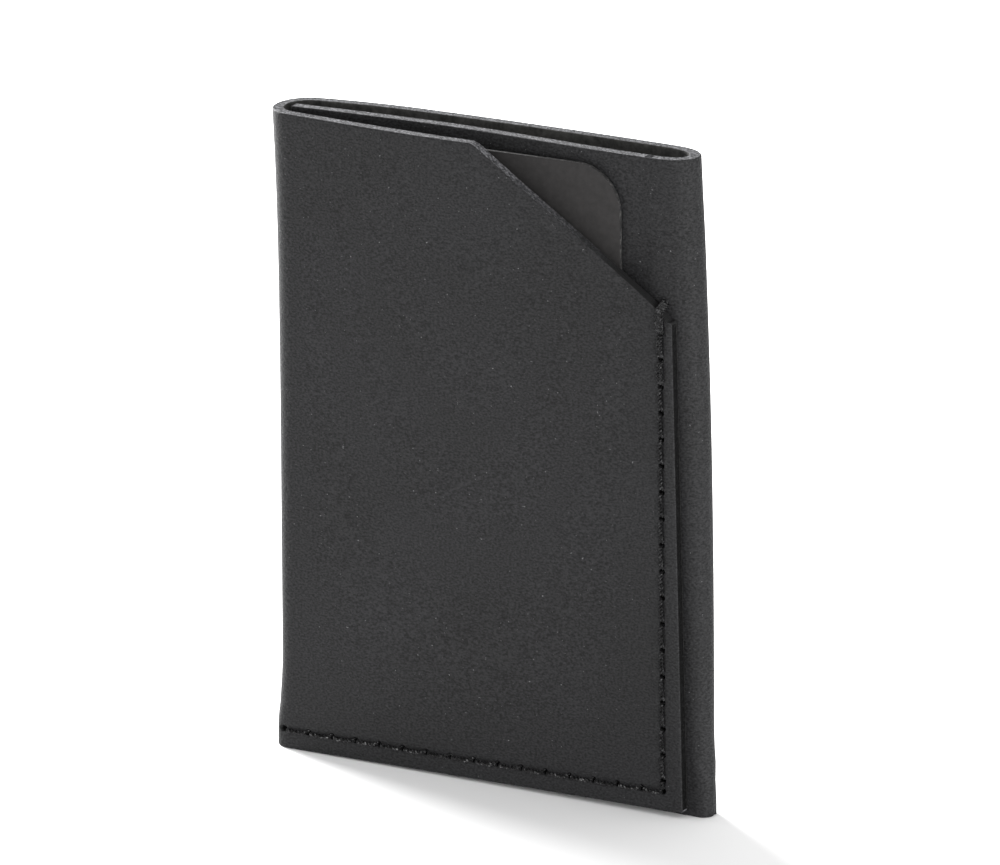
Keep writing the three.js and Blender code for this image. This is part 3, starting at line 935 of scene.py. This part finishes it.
def card_face():
    material, tree, shader = nodes_of("card_board")
    mottle = noise(tree, 1200, 5, 0.6)
    tone = ramp(tree, mottle, [(0.3, (0.0138, 0.0129, 0.0129)), (0.7, (0.0206, 0.0193, 0.0193))])
    finish_shader(tree, shader, tone, 0.8, 0.3)
    bumped(tree, shader, [(noise(tree, 4200, 4, 0.6), 0.3, 0.00004)])
    return material


def card_edge():
    material, tree, shader = nodes_of("card_cut_edge")
    mottle = noise(tree, 1500, 4, 0.7)
    tone = ramp(tree, mottle, [(0.5, (0.006, 0.006, 0.006)), (0.72, (0.07, 0.069, 0.068))])
    finish_shader(tree, shader, tone, 0.9)
    bumped(tree, shader, [(noise(tree, 3000, 4, 0.7), 0.5, 0.00006)])
    return material


def pale_floor_material():
    material, tree, shader = nodes_of("pale_floor")
    tone = ramp(tree, noise(tree, 6, 2, 0.5), [(0.3, 0.86), (0.7, 0.88)])
    finish_shader(tree, shader, tone, 0.9)
    return material


def dress(obj, materials):
    for index in range(len(obj.data.materials)):
        obj.data.materials[index] = materials[index]


# ---- The pieces


def flat_width(line, columns):
    """The length of the leather's middle line, halfway up, in millimetres."""
    x, y = line(columns, np.full(len(columns), HEIGHT / 2))
    return float(np.hypot(np.diff(x), np.diff(y)).sum())


def leather_looks():
    """In the order of the leather's material slots."""
    return [
        grain_leather(),
        flesh_leather(),
        cut_edge_leather("leather_cut_edge"),
        painted_shade_leather(),
        cut_edge_leather("leather_diagonal_edge_painted_shade", painted_shade_down=True),
    ]


def panel_table():
    """Each panel's node, name, columns, levels, line, heights, relief, and whether its ends are cut."""
    front_holes = [x for x in FOOT_HOLES if x > SPLITS["front_left"]]
    front_columns = spread(SPLITS["front_left"], FRONT_EDGE_FOOT, COLUMN_STEP, front_holes)
    back_ends = -SPLITS["back_right"], -SPLITS["left_back"]
    back_holes = [-x for x in FOOT_HOLES if back_ends[0] < -x < back_ends[1]]
    middle_columns = np.linspace(MIDDLE_FIRST_COLUMN, 1, MIDDLE_COLUMNS)
    rows = plain_levels()
    return [
        ("front_panel", "leather_front", with_arris(front_columns, False, True), front_levels(),
         front_panel_line, front_heights, front_relief, False, True),
        ("left_fold", "leather_left_fold", fold_places(*LEFT_FOLD_COLUMNS), rows,
         left_fold_line, left_fold_heights, foot_relief, False, False),
        ("back_panel", "leather_back", spread(*back_ends, COLUMN_STEP, back_holes), rows,
         back_panel_line, back_heights, foot_relief, False, False),
        ("right_fold", "leather_right_fold", fold_places(*RIGHT_FOLD_COLUMNS), rows,
         right_fold_line, right_fold_heights, foot_relief, False, False),
        ("middle_panel", "leather_middle", np.concatenate([MIDDLE_END_COLUMNS, middle_columns]), rows,
         middle_panel_line, middle_heights, no_relief, True, False),
    ]


def build_leather():
    looks = leather_looks()
    panels = {}
    for node, name, columns, levels, line, heights, relief, cut_first, cut_last in panel_table():
        panel = leather_panel(name, columns, levels, line, heights, relief, cut_first, cut_last)
        dress(panel, looks)
        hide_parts(node)
        width = flat_width(line, columns)
        panels[node] = panel
    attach(panels["front_panel"], "pockets")
    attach(panels["middle_panel"], "pockets")
    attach(panels["back_panel"], "back_flap")
    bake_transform(panels["left_fold"])
    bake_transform(panels["right_fold"])


def build_threads():
    # The foot thread gets brighter painted highlights than the side thread, as if lit from below
    foot_look = black_thread("black_thread", 0.19)
    side_look = black_thread("black_side_thread_dim_painted_highlights", 0.08)
    up, right = (0, 0, 1), (1, 0, 0)
    foot_back = foot_seam(BACK_Y + HALF, 1)
    side_back = side_seam(MIDDLE_Y + HALF, 1, first=1)
    seams = [
        ("thread_foot_front", foot_seam(0, -1), up, "foot_seam_front_thread", "pockets", foot_look),
        ("thread_foot_back", foot_back, up, "foot_seam_back_thread", "back_flap", foot_look),
        ("thread_side_front", side_front_paths(), right, "side_seam_front_thread", "pockets", side_look),
        ("thread_side_back", side_back, right, "side_seam_back_thread", "pockets", side_look),
    ]
    for name, paths, across, node, body, look in seams:
        seam = thread_mesh(name, paths, across)
        dress(seam, [look])
        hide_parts(node)
        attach(seam, body)


def build_card():
    card = insert_card()
    face = card_face()
    dress(card, [face, face, card_edge()])
    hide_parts("insert_card")
    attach(card, "card")


# ---- Camera, floor and lights


def add_camera():
    a, e = CAMERA_AZIMUTH, CAMERA_ELEVATION
    back = Vector((math.sin(a) * math.cos(e), -math.cos(a) * math.cos(e), math.sin(e)))
    right = (-back).cross(Vector((0, 0, 1))).normalized()
    up = right.cross(-back)
    c, s = math.cos(CAMERA_ROLL), math.sin(CAMERA_ROLL)
    rolled_right = c * right + s * up
    rolled_up = -s * right + c * up
    data = bpy.data.cameras.new("camera")
    data.lens = CAMERA_LENS
    data.sensor_width = CAMERA_SENSOR
    data.clip_start, data.clip_end = CAMERA_CLIP
    camera = bpy.data.objects.new("camera", data)
    turn = Matrix((rolled_right, rolled_up, back)).transposed().to_4x4()
    camera.matrix_world = Matrix.Translation(CAMERA_TARGET + back * CAMERA_DISTANCE) @ turn
    bpy.context.scene.collection.objects.link(camera)
    bpy.context.scene.camera = camera


def add_floor():
    mesh = bpy.data.meshes.new("floor")
    work = bmesh.new()
    bmesh.ops.create_grid(work, x_segments=FLOOR_CELLS, y_segments=FLOOR_CELLS, size=FLOOR_HALF_WIDTH)
    work.to_mesh(mesh)
    work.free()
    mesh.materials.append(pale_floor_material())
    floor = bpy.data.objects.new("floor", mesh)
    floor.location = (0, 0, FLOOR_Z)
    bpy.context.scene.collection.objects.link(floor)


def add_light(name, where, watts):
    data = bpy.data.lights.new(name, "AREA")
    data.shape = "DISK"
    data.size = LIGHT_WIDTH
    data.energy = watts
    light = bpy.data.objects.new(name, data)
    light.location = where
    light.rotation_euler = (LIGHT_AIM - Vector(where)).to_track_quat("-Z", "Y").to_euler()
    bpy.context.scene.collection.objects.link(light)


def add_lights():
    world = bpy.data.worlds.new("soft_studio")
    world.use_nodes = True
    world.node_tree.nodes["Background"].inputs["Color"].default_value = (1, 1, 1, 1)
    world.node_tree.nodes["Background"].inputs["Strength"].default_value = 1.0
    bpy.context.scene.world = world
    bpy.context.scene.view_settings.view_transform = "Standard"
    for name, (where, watts) in LIGHTS.items():
        add_light(name, where, watts)


build_leather()
build_threads()
build_card()
add_camera()
add_floor()
add_lights()
